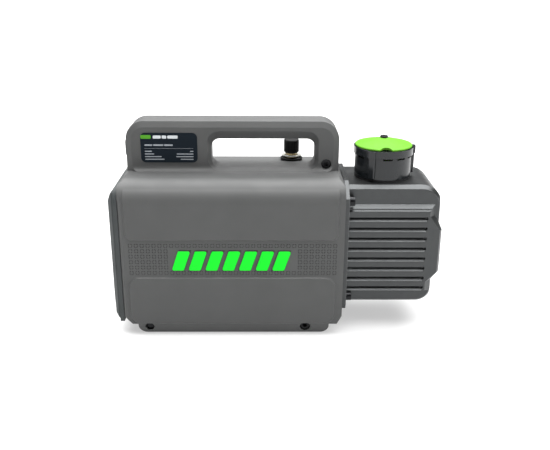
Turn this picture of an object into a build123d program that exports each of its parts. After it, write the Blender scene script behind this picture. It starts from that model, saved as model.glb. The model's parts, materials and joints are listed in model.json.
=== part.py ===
"""HVAC service vacuum pump: a direct-drive rotary vane pump and its motor in a plastic clamshell.

Millimetres, +Z up, +X from the fan end towards the oil tank, front face at -Y.
The origin is on the floor, under the middle of the pump's length and depth.
"""

from build123d import *
from math import atan2, copysign, cos, degrees, pi, radians, sin
import os

os.makedirs("parts", exist_ok=True)

# ------------------------------------------------------------------ driving dimensions
LENGTH = 309.0
DEPTH = 116.0
HEIGHT = 198.0
X_END = LENGTH / 2  # outer face of the oil tank; the fan end is at -X_END
FOOT_LIFT = 0.8  # the rubber feet stand this far below the plastic base
WALL = 3.0
PAD = 1.5  # how far the moulded panels stand out of the shell
SEAM = 0.05  # each shell stops this far from the parting plane
TOUCH = 0.02  # air left between two faces that only meet
RUNNING_FIT = 0.05  # radial clearance of a running fit
LOOSE_FIT = 0.3  # clearance between a screwed part and the part it screws on

# clamshell housing
SHELL_LEFT = -145.0
SHELL_RIGHT = 61.5
SHELL_TOP = 151.2
SHOULDER = 20.0
SHELL_CORNER = 4.0  # radius of the housing's upright corners
SKIRT_Z = 12.5  # below this height the walls lean inwards to the base
TURN_IN_Z = 11.5  # below this height the two ends step in to the base
FOOT_LEFT = -132.0
FOOT_RIGHT = 49.5
FOOT_HALF = 52.0
FLOOR_TOP = 4.0
BAND_LOW = 60.4
BAND_HIGH = 96.8
PANEL_LEFT = -139.5
PANEL_RIGHT = 55.8
PANEL_LOW = 12.0
PANEL_TAPER = 38.0  # slope of the panels' edges
UPPER_CORNER = 6.0
LOWER_CORNER = 10.0

# handle, one with the clamshell
HANDLE_LEFT = -141.2
HANDLE_RIGHT = 57.8
HANDLE_HALF = 15.6
HANDLE_CORNER = 17.5
GRIP_LEFT = -62.0
GRIP_RIGHT = 35.4
GRIP_LOW = 153.0
GRIP_HIGH = 180.8
GRIP_CORNER = 8.0
FLARE_LOW = 151.6
ROOT_Z = 130.0
ROOT_BLEND = 6.0
HANDLE_BEVEL = 5.4  # width of the bevel in the plane of the handle's faces
HANDLE_BEVEL_DEPTH = 2.8
LABEL_LEFT = -127.0
LABEL_RIGHT = -74.5
LABEL_LOW = 159.5
LABEL_HIGH = 187.6

# shaft line and motor
AXIS_Z = 78.0
SHAFT_R = 7.5
STATOR_R = 48.0
STATOR_BORE = 27.0
SLOTS = 24
CORE_LEFT = -50.0
CORE_RIGHT = 10.0
SKIRT_BORE = 41.8
BOLT_CIRCLE = 44.9
REAR_BEARING_X = -81.0
FRONT_BEARING_X = 43.0
BEARING_W = 11.0
BEARING_R = 17.5
BALL_CIRCLE = 12.5
BALL_R = 3.0
BALLS = 8
PLATE_LEFT = 55.0
PLATE_RIGHT = 61.2

# pump
ROTOR_R = 19.0
CYLINDER_R = 30.5
CYLINDER_BORE = 21.6
BORE_DROP = 2.4  # the cylinder's bore lies this far below the shaft line
CYLINDER_LENGTH = 40.0
CYLINDER_RIGHT = PLATE_RIGHT + TOUCH + CYLINDER_LENGTH
END_PLATE_T = 8.0
VALVE_SEAT_Z = 102.0

# oil tank
FLANGE_LEFT = 62.0
FLANGE_RIGHT = 66.0
TANK_TOP = 143.0
TANK_BOTTOM = 25.0
TANK_HALF = 36.0
BAND_HALF = 42.0
TANK_WALL = 4.0
FACE_BEVEL = 4.5  # depth of the bevel round the tank's front and back faces
FACE_TAPER = 34.0
TANK_END = 152.0
LOWER_END = 148.5
GROOVES = 8
GROOVE_TOP_Z = 113.5
GROOVE_PITCH = 10.0
GROOVE_DEPTH = 2.6
GROOVE_RIGHT = 138.5
SIGHT_Z = 74.0
DRAIN_X = 124.0

# exhaust cap on the tank
CAP_X = 101.4
CAP_R = 26.9
CUP_LOW = 145.2
CUP_FLOOR = 3.0
RING_LOW = 166.0
RING_HIGH = 172.8
LUG_ANGLES = (-120, 0, 120)

# inlet port behind the handle
INLET_X = 14.5
INLET_Y = 27.0
THREAD_R = 5.55
FITTING_LOW = 130.0
FITTING_TOP = 168.0
PIPE_Z = 124.0

# screws that join several parts
PUMP_BOLT_CIRCLE = 27.4
TANK_BOLTS = [(y, z) for y in (-42.8, 42.8) for z in (34.9, 130.4)]  # y, z


# ------------------------------------------------------------------ shared helpers
def save(piece, name):
    """Labels a finished piece and writes it as parts/NAME.step."""
    piece.part.label = name
    export_step(piece.part, f"parts/{name}.step")


def across(x, y, z):
    """A plane at a point, facing the front (-Y), with local X to the right and local Y up."""
    return Plane(origin=(x, y, z), x_dir=(1, 0, 0), z_dir=(0, -1, 0))


def along(x, y=0.0, z=AXIS_Z):
    """A plane at a point, facing the tank (+X), with local X towards the back and local Y up."""
    return Plane(origin=(x, y, z), x_dir=(0, 1, 0), z_dir=(1, 0, 0))


def level(x, y, z):
    """A level plane at a point."""
    return Plane(origin=(x, y, z), x_dir=(1, 0, 0), z_dir=(0, 0, 1))


def disc(plane, radius, depth, bore=0.0, mode=Mode.ADD):
    """A disc or ring that grows from the plane along its normal."""
    with BuildSketch(plane) as profile:
        Circle(radius)
        if bore:
            Circle(bore, mode=Mode.SUBTRACT)
    extrude(profile.sketch, amount=depth, mode=mode)


def drill(plane, radius, depth):
    """A round hole that goes from the plane along its normal."""
    disc(plane, radius, depth, mode=Mode.SUBTRACT)


def block(plane, width, height, depth, corner=0.0, mode=Mode.ADD):
    """A rectangular or round-cornered block that grows from the plane along its normal."""
    with BuildSketch(plane) as profile:
        if corner:
            RectangleRounded(width, height, corner)
        else:
            Rectangle(width, height)
    extrude(profile.sketch, amount=depth, mode=mode)


def hexagon(plane, flats, depth, mode=Mode.ADD):
    """A hexagonal prism, sized across its flats."""
    with BuildSketch(plane) as profile:
        RegularPolygon(flats / 2, 6, major_radius=False)
    extrude(profile.sketch, amount=depth, mode=mode)


def socket_screw(plane, shank_r, length, head_r, head_h, key):
    """A socket head screw: its shank runs along the plane's normal and its head sits behind the plane."""
    disc(plane, shank_r, length)
    head = plane.offset(-head_h)
    disc(head, head_r, head_h)
    hexagon(head, key, head_h * 0.6, mode=Mode.SUBTRACT)


def outline(points):
    """A closed straight-sided face in the current sketch."""
    with BuildLine() as path:
        Polyline(*points, close=True)
    make_face(path.edges())


def round_corner(x, y, radius):
    """Fillets the sketch corner at a point."""
    corner = [v for v in vertices() if abs(v.X - x) < 0.01 and abs(v.Y - y) < 0.01]
    fillet(corner, radius)


# ------------------------------------------------------------------ housing form
def wall_section(half, foot, top):
    """Cross-section of the housing: leaning skirt, upright walls and round shoulders."""
    with BuildLine() as path:
        side = Polyline((0, FOOT_LIFT), (foot, FOOT_LIFT), (half, SKIRT_Z), (half, top - SHOULDER))
        bend = RadiusArc(side @ 1, (half - SHOULDER, top), -SHOULDER)
        crown = Line(bend @ 1, (0, top))
        mirror([*side.edges(), bend, crown], about=Plane.YZ)
    make_face(path.edges())


with BuildPart() as base_form:
    with BuildSketch(Plane.XZ):
        outline([
            (FOOT_LEFT, FOOT_LIFT), (FOOT_LEFT, TURN_IN_Z), (SHELL_LEFT + 8, TURN_IN_Z), (SHELL_LEFT, 20.0),
            (SHELL_LEFT, 146.3), (SHELL_LEFT + 5, SHELL_TOP), (SHELL_RIGHT - 5, SHELL_TOP),
            (SHELL_RIGHT, 146.2), (SHELL_RIGHT, 20.0), (SHELL_RIGHT - 4.5, TURN_IN_Z),
            (FOOT_RIGHT, TURN_IN_Z), (FOOT_RIGHT, FOOT_LIFT),
        ])
        round_corner(FOOT_LEFT, FOOT_LIFT, 8)
        round_corner(FOOT_RIGHT, FOOT_LIFT, 8)
        round_corner(SHELL_LEFT, 20.0, 5)
        round_corner(SHELL_LEFT, 146.3, 3)
        round_corner(SHELL_RIGHT, 20.0, 4)
    extrude(amount=DEPTH, both=True)
    with BuildSketch(Plane.YZ.offset(SHELL_LEFT - WALL)):
        wall_section(DEPTH / 2 - PAD, FOOT_HALF, SHELL_TOP)
    extrude(amount=LENGTH, mode=Mode.INTERSECT)
    plan_middle = level((SHELL_LEFT + SHELL_RIGHT) / 2, 0, 0)
    block(plan_middle, SHELL_RIGHT - SHELL_LEFT, DEPTH - 2 * PAD, HEIGHT, SHELL_CORNER, Mode.INTERSECT)

with BuildPart() as panel_form:
    with BuildSketch(across(0, -(DEPTH / 2 - PAD), 0)) as panels:
        panel_width = PANEL_RIGHT - PANEL_LEFT
        panel_x = (PANEL_RIGHT + PANEL_LEFT) / 2
        with Locations((panel_x, (BAND_HIGH + HEIGHT) / 2)):
            RectangleRounded(panel_width, HEIGHT - BAND_HIGH, UPPER_CORNER)
        with Locations((panel_x, (PANEL_LOW + BAND_LOW) / 2)):
            RectangleRounded(panel_width - 2, BAND_LOW - PANEL_LOW, LOWER_CORNER)
    extrude(panels.sketch, amount=PAD, taper=PANEL_TAPER)
    extrude(panels.sketch, amount=PAD - DEPTH / 2)
    mirror(about=Plane.XZ)
    with BuildSketch(Plane.YZ.offset(SHELL_LEFT - WALL)) as panel_section:
        wall_section(DEPTH / 2, FOOT_HALF + PAD, SHELL_TOP - PAD)
    extrude(panel_section.sketch, amount=LENGTH, mode=Mode.INTERSECT)

with BuildPart() as handle_form:
    with BuildSketch(across(0, -(HANDLE_HALF - HANDLE_BEVEL_DEPTH), 0)) as handle_side:
        outline([
            (HANDLE_LEFT, ROOT_Z), (HANDLE_LEFT, HEIGHT), (HANDLE_RIGHT, HEIGHT), (HANDLE_RIGHT, ROOT_Z),
        ])
        round_corner(HANDLE_LEFT, HEIGHT, HANDLE_CORNER)
        round_corner(HANDLE_RIGHT, HEIGHT, HANDLE_CORNER)
    bevel_angle = degrees(atan2(HANDLE_BEVEL, HANDLE_BEVEL_DEPTH))
    extrude(handle_side.sketch, amount=HANDLE_BEVEL_DEPTH, taper=bevel_angle)
    extrude(handle_side.sketch, amount=HANDLE_BEVEL_DEPTH - HANDLE_HALF)
    mirror(about=Plane.XZ)
grip_width = GRIP_RIGHT - GRIP_LEFT
grip_height = GRIP_HIGH - GRIP_LOW
grip_x = (GRIP_LEFT + GRIP_RIGHT) / 2
grip_z = (GRIP_LOW + GRIP_HIGH) / 2

with BuildPart() as root_form:
    with BuildSketch(Plane.YZ.offset(HANDLE_LEFT)):
        with BuildLine() as root_path:
            out = HANDLE_HALF + ROOT_BLEND
            low = Polyline((0, ROOT_Z), (out, ROOT_Z), (out, SHELL_TOP - TOUCH))
            sink = ROOT_BLEND * (1 - cos(pi / 4))
            blend_top = (HANDLE_HALF, SHELL_TOP + ROOT_BLEND)
            hollow = ThreePointArc(low @ 1, (HANDLE_HALF + sink, SHELL_TOP + sink), blend_top)
            over = Line(hollow @ 1, (0, SHELL_TOP + ROOT_BLEND))
            mirror([*low.edges(), hollow, over], about=Plane.YZ)
        make_face()
    extrude(amount=HANDLE_RIGHT - HANDLE_LEFT)
    with BuildSketch(Plane.XY.offset(ROOT_Z)):
        left = HANDLE_LEFT + HANDLE_BEVEL
        right = HANDLE_RIGHT - HANDLE_BEVEL
        outline([
            (left, -HANDLE_HALF), (left + ROOT_BLEND, -out), (right - ROOT_BLEND, -out),
            (right, -HANDLE_HALF), (right, HANDLE_HALF), (right - ROOT_BLEND, out),
            (left + ROOT_BLEND, out), (left, HANDLE_HALF),
        ])
    extrude(amount=HEIGHT, mode=Mode.INTERSECT)

with BuildPart() as housing_form:
    add(base_form.part)
    add(panel_form.part)
    add(root_form.part)
    add(handle_form.part)
    with BuildSketch(across(grip_x, 0, grip_z)):
        RectangleRounded(grip_width, grip_height, GRIP_CORNER)
    extrude(amount=DEPTH, both=True, mode=Mode.SUBTRACT)
    # both mouths of the grip open wider towards the faces of the handle
    for side in (-1, 1):
        with BuildSketch(across(grip_x, side * (HANDLE_HALF - 7), grip_z)):
            RectangleRounded(grip_width, grip_height, GRIP_CORNER)
        flare_top = GRIP_HIGH + 17
        with BuildSketch(across(grip_x, side * (HANDLE_HALF + 7), (flare_top + FLARE_LOW) / 2)):
            RectangleRounded(grip_width + 13, flare_top - FLARE_LOW, GRIP_CORNER + 6)
        loft(mode=Mode.SUBTRACT)

# ------------------------------------------------------------------ housing shells
# Shell screws: x, z, Y of the head's bearing face, Y of the shank's tip; the front face is at -Y.
SCREW_R = 2.5
SCREW_HOLE = 2.6
HEAD_R = 4.25
HEAD_H = 5.0
NUT_FLATS = 8.0
NUT_T = 4.0
FOOT_SCREW_Z = 8.3
FOOT_SCREWS = ((26.9, -1), (-121.3, 1))  # x and the side that the head is on
FOOT_HEAD_Y = 47.0
FOOT_TIP_Y = 52.5
COLUMN_SCREWS = ((45.8, 157.9, -1), (-100.0, 173.0, 1))
COLUMN_HEAD_Y = 9.2
COLUMN_TIP_Y = 9.0
COVER_SEAT_X = -151.0
# y, z and the x of the boss's face
COVER_SCREWS = ((-41, 121, -153.6), (41, 121, -153.6), (-41, 30, -153.2), (41, 30, -153.2))
FEET = [(x, y) for x in (-116.0, 34.0) for y in (-37.0, 37.0)]
FOOT_R = 7.0
FOOT_SINK = 1.5


def flange_outline(inset):
    """Outline of the tank's flange on a plane across the shaft line, optionally smaller all round."""
    drop = AXIS_Z
    outline([
        (-45.0, 22.7 - drop), (-48.0, 28.5 - drop), (-48.0, 133.8 - drop), (-30.0, 146.5 - drop),
        (30.0, 146.5 - drop), (48.0, 133.8 - drop), (48.0, 28.5 - drop), (45.0, 22.7 - drop),
    ])
    if inset:
        offset(amount=-inset, kind=Kind.INTERSECTION)


with BuildPart() as cavity_form:
    with BuildSketch(Plane.XZ):
        outline([
            (SHELL_LEFT - 5, 18.0), (FOOT_LEFT + 2, 15.0), (FOOT_LEFT + WALL, FLOOR_TOP),
            (FOOT_RIGHT - WALL, FLOOR_TOP), (FOOT_RIGHT, 14.5), (SHELL_RIGHT - WALL, 22.0),
            (SHELL_RIGHT - WALL, 145.0), (55.0, SHELL_TOP - WALL), (-134.5, SHELL_TOP - WALL),
            (SHELL_LEFT + 1, 138.5), (SHELL_LEFT - 5, 138.5),
        ])
    extrude(amount=DEPTH, both=True)
    with BuildSketch(Plane.YZ.offset(SHELL_LEFT - 6)):
        inner = DEPTH / 2 - PAD - WALL
        outline([
            (-FOOT_HALF + WALL, 0), (-inner, SKIRT_Z), (-inner, 132.0), (-inner + 17, SHELL_TOP - WALL),
            (inner - 17, SHELL_TOP - WALL), (inner, 132.0), (inner, SKIRT_Z), (FOOT_HALF - WALL, 0),
        ])
    extrude(amount=LENGTH, mode=Mode.INTERSECT)
    # hollow of the handle: the wide left column, the bar and the right column
    block(across((HANDLE_LEFT + GRIP_LEFT) / 2, HANDLE_HALF - WALL, 163.0),
          GRIP_LEFT - HANDLE_LEFT - 2 * WALL - 4, 56.0, 2 * (HANDLE_HALF - WALL), 6)
    block(across(-40.0, 8.0, 189.8), 180.0, 8.6, 16.0, 3)
    block(across(48.0, 8.0, 166.0), 11.0, 52.0, 16.0, 3)
    with BuildSketch(across(0, DEPTH / 2, 0)) as bosses:
        for x, side in FOOT_SCREWS:
            with Locations((x, FOOT_SCREW_Z)):
                Circle(7)
        for x, z, side in COLUMN_SCREWS:
            with Locations((x, z)):
                Circle(6.4)
    extrude(bosses.sketch, amount=DEPTH, mode=Mode.SUBTRACT)
    for y, z, face_x in COVER_SCREWS:
        block(along(SHELL_LEFT - 6, copysign(47, y), z), 20, 11, 17, mode=Mode.SUBTRACT)

SWITCH_X = HANDLE_LEFT
SWITCH_Z = 172.2
SWITCH_OPENING = (18.6, 12.4)

with BuildPart() as housing:
    add(housing_form.part)
    add(cavity_form.part, mode=Mode.SUBTRACT)
    with BuildSketch(along(SHELL_RIGHT - WALL - 4)) as bracket_opening:
        flange_outline(2.0)
    extrude(bracket_opening.sketch, amount=20, mode=Mode.SUBTRACT)
    block(along(SWITCH_X - 1, 0, SWITCH_Z), *SWITCH_OPENING, WALL + 6, mode=Mode.SUBTRACT)
    drill(level(INLET_X, INLET_Y, SHELL_TOP - WALL - 2), THREAD_R + 0.15, 10)
    drill(level(INLET_X, INLET_Y, SHELL_TOP), 11.0, 8)
    for y, z, face_x in COVER_SCREWS:
        drill(along(SHELL_LEFT - 1, y, z), 2.0 + TOUCH, 9)
    for x, y in FEET:
        drill(level(x, y, 0), FOOT_R + 0.1, FOOT_LIFT + FOOT_SINK)
    for x, side in FOOT_SCREWS:
        drill(across(x, DEPTH / 2, FOOT_SCREW_Z), SCREW_HOLE, DEPTH)
        if side < 0:
            drill(across(x, -FOOT_HEAD_Y, FOOT_SCREW_Z), 5.0, 20)
            hexagon(across(x, FOOT_HEAD_Y + 20, FOOT_SCREW_Z), NUT_FLATS + 0.3, 20, mode=Mode.SUBTRACT)
        else:
            drill(across(x, FOOT_HEAD_Y + 20, FOOT_SCREW_Z), 5.0, 20)
            hexagon(across(x, -FOOT_HEAD_Y, FOOT_SCREW_Z), NUT_FLATS + 0.3, 20, mode=Mode.SUBTRACT)
    for x, z, side in COLUMN_SCREWS:
        if side < 0:
            drill(across(x, COLUMN_TIP_Y + 1, z), SCREW_HOLE, DEPTH)
            drill(across(x, -COLUMN_HEAD_Y, z), 4.75, 20)
        else:
            drill(across(x, DEPTH / 2, z), SCREW_HOLE, DEPTH / 2 + COLUMN_TIP_Y + 1)
            drill(across(x, COLUMN_HEAD_Y + 20, z), 4.75, 20)

with BuildPart() as front_shell:
    add(housing.part)
    split(bisect_by=Plane.XZ.offset(SEAM), keep=Keep.TOP)
save(front_shell, "front_shell")

with BuildPart() as rear_shell:
    add(housing.part)
    split(bisect_by=Plane.XZ.offset(-SEAM), keep=Keep.BOTTOM)
save(rear_shell, "rear_shell")

with BuildPart() as shell_screws:
    for x, side in FOOT_SCREWS:
        if side < 0:
            run = across(x, -FOOT_HEAD_Y, FOOT_SCREW_Z).rotated((180, 0, 0))
        else:
            run = across(x, FOOT_HEAD_Y, FOOT_SCREW_Z)
        socket_screw(run, SCREW_R, FOOT_HEAD_Y + FOOT_TIP_Y, HEAD_R, HEAD_H, 4.0)
    for x, z, side in COLUMN_SCREWS:
        run = across(x, side * COLUMN_HEAD_Y, z)
        if side < 0:
            run = run.rotated((180, 0, 0))
        socket_screw(run, SCREW_R, COLUMN_HEAD_Y + COLUMN_TIP_Y, HEAD_R, HEAD_H, 4.0)
save(shell_screws, "shell_screws")

with BuildPart() as shell_nuts:
    for x, side in FOOT_SCREWS:
        near = across(x, FOOT_HEAD_Y + NUT_T, FOOT_SCREW_Z)
        if side > 0:
            near = across(x, -FOOT_HEAD_Y, FOOT_SCREW_Z)
        hexagon(near, NUT_FLATS, NUT_T)
        drill(near.offset(-1), SCREW_R + TOUCH, NUT_T + 2)
save(shell_nuts, "shell_nuts")

with BuildPart() as rubber_feet:
    for x, y in FEET:
        disc(level(x, y, 0), FOOT_R, FOOT_LIFT + FOOT_SINK)
save(rubber_feet, "rubber_feet")

with BuildPart() as rating_label:
    label_x = (LABEL_LEFT + LABEL_RIGHT) / 2
    label_z = (LABEL_LOW + LABEL_HIGH) / 2
    block(across(label_x, -HANDLE_HALF - TOUCH, label_z),
          LABEL_RIGHT - LABEL_LEFT, LABEL_HIGH - LABEL_LOW, 0.4, 4.5)
save(rating_label, "rating_label")

# raised green bars where a badge goes: a row of slanted bars
BARS = 7
BADGE_LEFT = -97.8
BADGE_RIGHT = 12.7
BADGE_LOW = 67.4
BADGE_HIGH = 86.4
BADGE_T = 1.45
BAR_SLANT = 6.5
BAR_GAP = 4.2

with BuildPart() as badge_bars:
    bar_pitch = (BADGE_RIGHT - BAR_SLANT - BADGE_LEFT + BAR_GAP) / BARS
    with BuildSketch(across(0, -(DEPTH / 2 - PAD) - TOUCH, 0)) as bars:
        for i in range(BARS):
            x = BADGE_LEFT + i * bar_pitch
            end = x + bar_pitch - BAR_GAP
            outline([
                (x, BADGE_LOW), (end, BADGE_LOW), (end + BAR_SLANT, BADGE_HIGH), (x + BAR_SLANT, BADGE_HIGH),
            ])
        fillet(vertices(), 1.6)
    extrude(bars.sketch, amount=BADGE_T)
    chamfer(badge_bars.faces().filter_by(Plane.XZ).sort_by(Axis.Y)[:BARS].edges(), 0.35)
save(badge_bars, "badge_bars")

# ------------------------------------------------------------------ fan-end cover, power inlet and switch
COVER_OUTLINE = [
    (-145.1, 13.5), (-149.0, 13.5), (-153.8, 19.5), (-X_END, 40.0), (-X_END, 132.0),
    (-151.5, 139.8), (-145.1, 146.0),
]
COVER_HALF = 50.0
COVER_RIM = 54.0
INLET_WALL_X = -150.8
INLET_Z = 112.0
SOCKET_W = 27.4
SOCKET_H = 20.4
PINS = ((-7, -1.5), (7, -1.5), (0, 2.5))  # y, height above the middle of the inlet

with BuildPart() as end_cover:
    with BuildSketch(Plane.XZ) as dome:
        outline(COVER_OUTLINE)
        round_corner(-149.0, 13.5, 3)
        round_corner(-153.8, 19.5, 4)
        round_corner(-X_END, 132.0, 4)
        round_corner(-151.5, 139.8, 6)
    extrude(dome.sketch, amount=COVER_HALF, both=True)
    with BuildSketch(Plane.XY) as plan:
        outline([
            (-145.0, -COVER_HALF), (-151.0, -COVER_HALF), (-X_END - 1, -COVER_HALF + 4.5),
            (-X_END - 1, COVER_HALF - 4.5), (-151.0, COVER_HALF), (-145.0, COVER_HALF),
        ])
    extrude(plan.sketch, amount=HEIGHT, mode=Mode.INTERSECT)
    with BuildSketch(Plane.XZ) as rim:
        outline([(-145.1, 13.5), (-149.0, 13.5), (-149.0, 142.3), (-145.1, 146.0)])
    extrude(rim.sketch, amount=COVER_RIM, both=True)
    with BuildSketch(Plane.YZ.offset(-X_END - 1)) as cover_section:
        wall_section(COVER_RIM, FOOT_HALF, 148.0)
    extrude(cover_section.sketch, amount=20, mode=Mode.INTERSECT)
    with BuildSketch(Plane.XZ) as hollow_side:
        outline([
            (-144.0, 18.0), (-150.0, 21.0), (-151.5, 40.0), (-151.5, 130.5),
            (-149.0, 136.5), (-144.0, 141.0),
        ])
    extrude(hollow_side.sketch, amount=COVER_HALF - 5, both=True, mode=Mode.SUBTRACT)
    # flat seat for the power inlet, with a wall behind it
    block(along(INLET_WALL_X - 2, 0, INLET_Z), 58, 28, 7)
    block(along(-170, 0, INLET_Z), 54, 26, 170 + INLET_WALL_X, mode=Mode.SUBTRACT)
    block(along(-170, 0, INLET_Z), SOCKET_W, SOCKET_H, 30, 3, mode=Mode.SUBTRACT)
    # fan intake louvres
    with BuildSketch(along(-175, 0, 61)) as louvres:
        with GridLocations(0, 6.4, 1, 10):
            SlotOverall(72, 3)
    extrude(louvres.sketch, amount=28, mode=Mode.SUBTRACT)
    for y, z, face_x in COVER_SCREWS:
        disc(along(face_x, y, z), 6, -145.1 - face_x)
        drill(along(-175, y, z), 4.1, 175 + COVER_SEAT_X)
        drill(along(-175, y, z), 2.1, 40)
    for y in (-20, 20):
        drill(along(-165, y, INLET_Z), 1.7, 30)
save(end_cover, "end_cover")

with BuildPart() as fan_end_screws:
    for y, z, face_x in COVER_SCREWS:
        disc(along(COVER_SEAT_X - 1, y, z), 2.0, 14)
        disc(along(COVER_SEAT_X - 1.6, y, z), 3.6, 1.6 - TOUCH)
    for y in (-20, 20):
        disc(along(INLET_WALL_X - 3.0, y, INLET_Z), 1.6, 10)
        disc(along(INLET_WALL_X - 3.6, y, INLET_Z), 2.9, 1.4 - TOUCH)
save(fan_end_screws, "fan_end_screws")

with BuildPart() as power_inlet:
    block(along(INLET_WALL_X - 2.2, 0, INLET_Z), 50, 23, 2.2 - TOUCH, 3)
    block(along(INLET_WALL_X - TOUCH, 0, INLET_Z), 27, 20, 22, 3)
    with BuildSketch(along(INLET_WALL_X - 4, 0, INLET_Z)) as socket_mouth:
        outline([(-12.2, -8.4), (12.2, -8.4), (12.2, 4.0), (8.0, 8.4), (-8.0, 8.4), (-12.2, 4.0)])
    extrude(socket_mouth.sketch, amount=21, mode=Mode.SUBTRACT)
    for y in (-20, 20):
        drill(along(INLET_WALL_X - 4, y, INLET_Z), 1.7, 6)
    for y, z in PINS:
        block(along(INLET_WALL_X + 14, y, INLET_Z + z), 2.1, 4.1, 10, mode=Mode.SUBTRACT)
save(power_inlet, "power_inlet")

with BuildPart() as power_inlet_pins:
    for y, z in PINS:
        block(along(INLET_WALL_X + 4, y, INLET_Z + z), 2.0, 4.0, 26)
save(power_inlet_pins, "power_inlet_pins")

ROCKER_TILT = 10.0
ROCKER_X = HANDLE_LEFT + 3.2
ROCKER_H = 9.8
PIVOT_R = 1.0

with BuildPart() as switch_frame:
    block(along(SWITCH_X - 1.0, 0, SWITCH_Z), 21.0, 13.8, 1.0 - TOUCH, 1.5)
    block(along(SWITCH_X - TOUCH, 0, SWITCH_Z), 18.4, 12.2, 16)
    block(along(SWITCH_X - 2, 0, SWITCH_Z), 17.0, 10.4, 14, mode=Mode.SUBTRACT)
    drill(level(ROCKER_X, 0, SWITCH_Z - 7), PIVOT_R + RUNNING_FIT, 14)
save(switch_frame, "switch_frame")

with BuildPart() as switch_rocker:
    rocker_base = level(ROCKER_X, 0, SWITCH_Z - ROCKER_H / 2)
    tilted = rocker_base.rotated((0, 0, ROCKER_TILT))
    with BuildSketch(tilted) as rocker_profile:
        outline([(-5.0, -7.3), (-3.6, 0), (-5.0, 7.3), (0.5, 6.4), (3.5, 0), (0.5, -6.4)])
        round_corner(-5.0, -7.3, 0.8)
        round_corner(-5.0, 7.3, 0.8)
    extrude(rocker_profile.sketch, amount=ROCKER_H)
    disc(rocker_base.offset(-0.7), PIVOT_R, ROCKER_H + 1.4)
save(switch_rocker, "switch_rocker")

# ------------------------------------------------------------------ motor
def bearing(x, name):
    """Writes the outer ring, inner ring and balls of a deep-groove bearing that starts at x."""
    middle_x = x + BEARING_W / 2
    side_view = across(middle_x, 0, AXIS_Z)
    spin = Axis((middle_x, 0, AXIS_Z), (1, 0, 0))
    with BuildPart() as outer_ring:
        disc(along(x), BEARING_R, BEARING_W, bore=14.6)
        with BuildSketch(side_view) as race:
            with Locations((0, BALL_CIRCLE)):
                Circle(BALL_R + 0.08)
        revolve(race.sketch, axis=spin, mode=Mode.SUBTRACT)
    save(outer_ring, f"{name}_outer_ring")
    with BuildPart() as inner_ring:
        disc(along(x), 10.4, BEARING_W, bore=SHAFT_R + TOUCH)
        with BuildSketch(side_view) as groove:
            with Locations((0, BALL_CIRCLE)):
                Circle(BALL_R + 0.08)
        revolve(groove.sketch, axis=spin, mode=Mode.SUBTRACT)
    save(inner_ring, f"{name}_inner_ring")
    with BuildPart() as ball_set:
        with Locations(along(middle_x)):
            with PolarLocations(BALL_CIRCLE, BALLS):
                Sphere(BALL_R)
    save(ball_set, f"{name}_balls")


bearing(REAR_BEARING_X, "rear_bearing")
bearing(FRONT_BEARING_X, "front_bearing")

with BuildPart() as stator_core:
    core_length = CORE_RIGHT - CORE_LEFT
    disc(along(CORE_LEFT), STATOR_R, core_length, bore=STATOR_BORE)
    with BuildSketch(along(CORE_LEFT)) as slots:
        with PolarLocations(34.0, SLOTS):
            Rectangle(10, 4)
        with PolarLocations(28.0, SLOTS):
            Rectangle(4, 2)
    extrude(slots.sketch, amount=core_length, mode=Mode.SUBTRACT)
    with BuildSketch(along(CORE_LEFT)) as bolt_holes:
        with PolarLocations(BOLT_CIRCLE, 4, start_angle=45):
            Circle(2.1)
    extrude(bolt_holes.sketch, amount=core_length, mode=Mode.SUBTRACT)
save(stator_core, "stator_core")

with BuildPart() as stator_winding:
    with BuildSketch(along(CORE_LEFT - 12)) as coils:
        with PolarLocations(34.0, SLOTS):
            Rectangle(9.6, 3.6)
    extrude(coils.sketch, amount=core_length + 24)
    disc(along(CORE_LEFT - 17), 40.5, 16, bore=28.6)
    disc(along(CORE_RIGHT + 1), 40.5, 16, bore=28.6)
save(stator_winding, "stator_winding")

with BuildPart() as rear_end_bell:
    disc(along(-70), STATOR_R, 20 - TOUCH, bore=SKIRT_BORE)
    disc(along(-74), STATOR_R, 4, bore=BEARING_R + TOUCH)
    disc(along(-82), 22.0, 12, bore=BEARING_R + TOUCH)
    disc(along(-82), 22.0, 1 - TOUCH, bore=14.8)
    with BuildSketch(along(-75)) as bell_windows:
        with PolarLocations(31.5, 6):
            Rectangle(13, 16)
        with PolarLocations(BOLT_CIRCLE, 4, start_angle=45):
            Circle(2.1)
    extrude(bell_windows.sketch, amount=25, mode=Mode.SUBTRACT)
save(rear_end_bell, "rear_end_bell")

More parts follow.
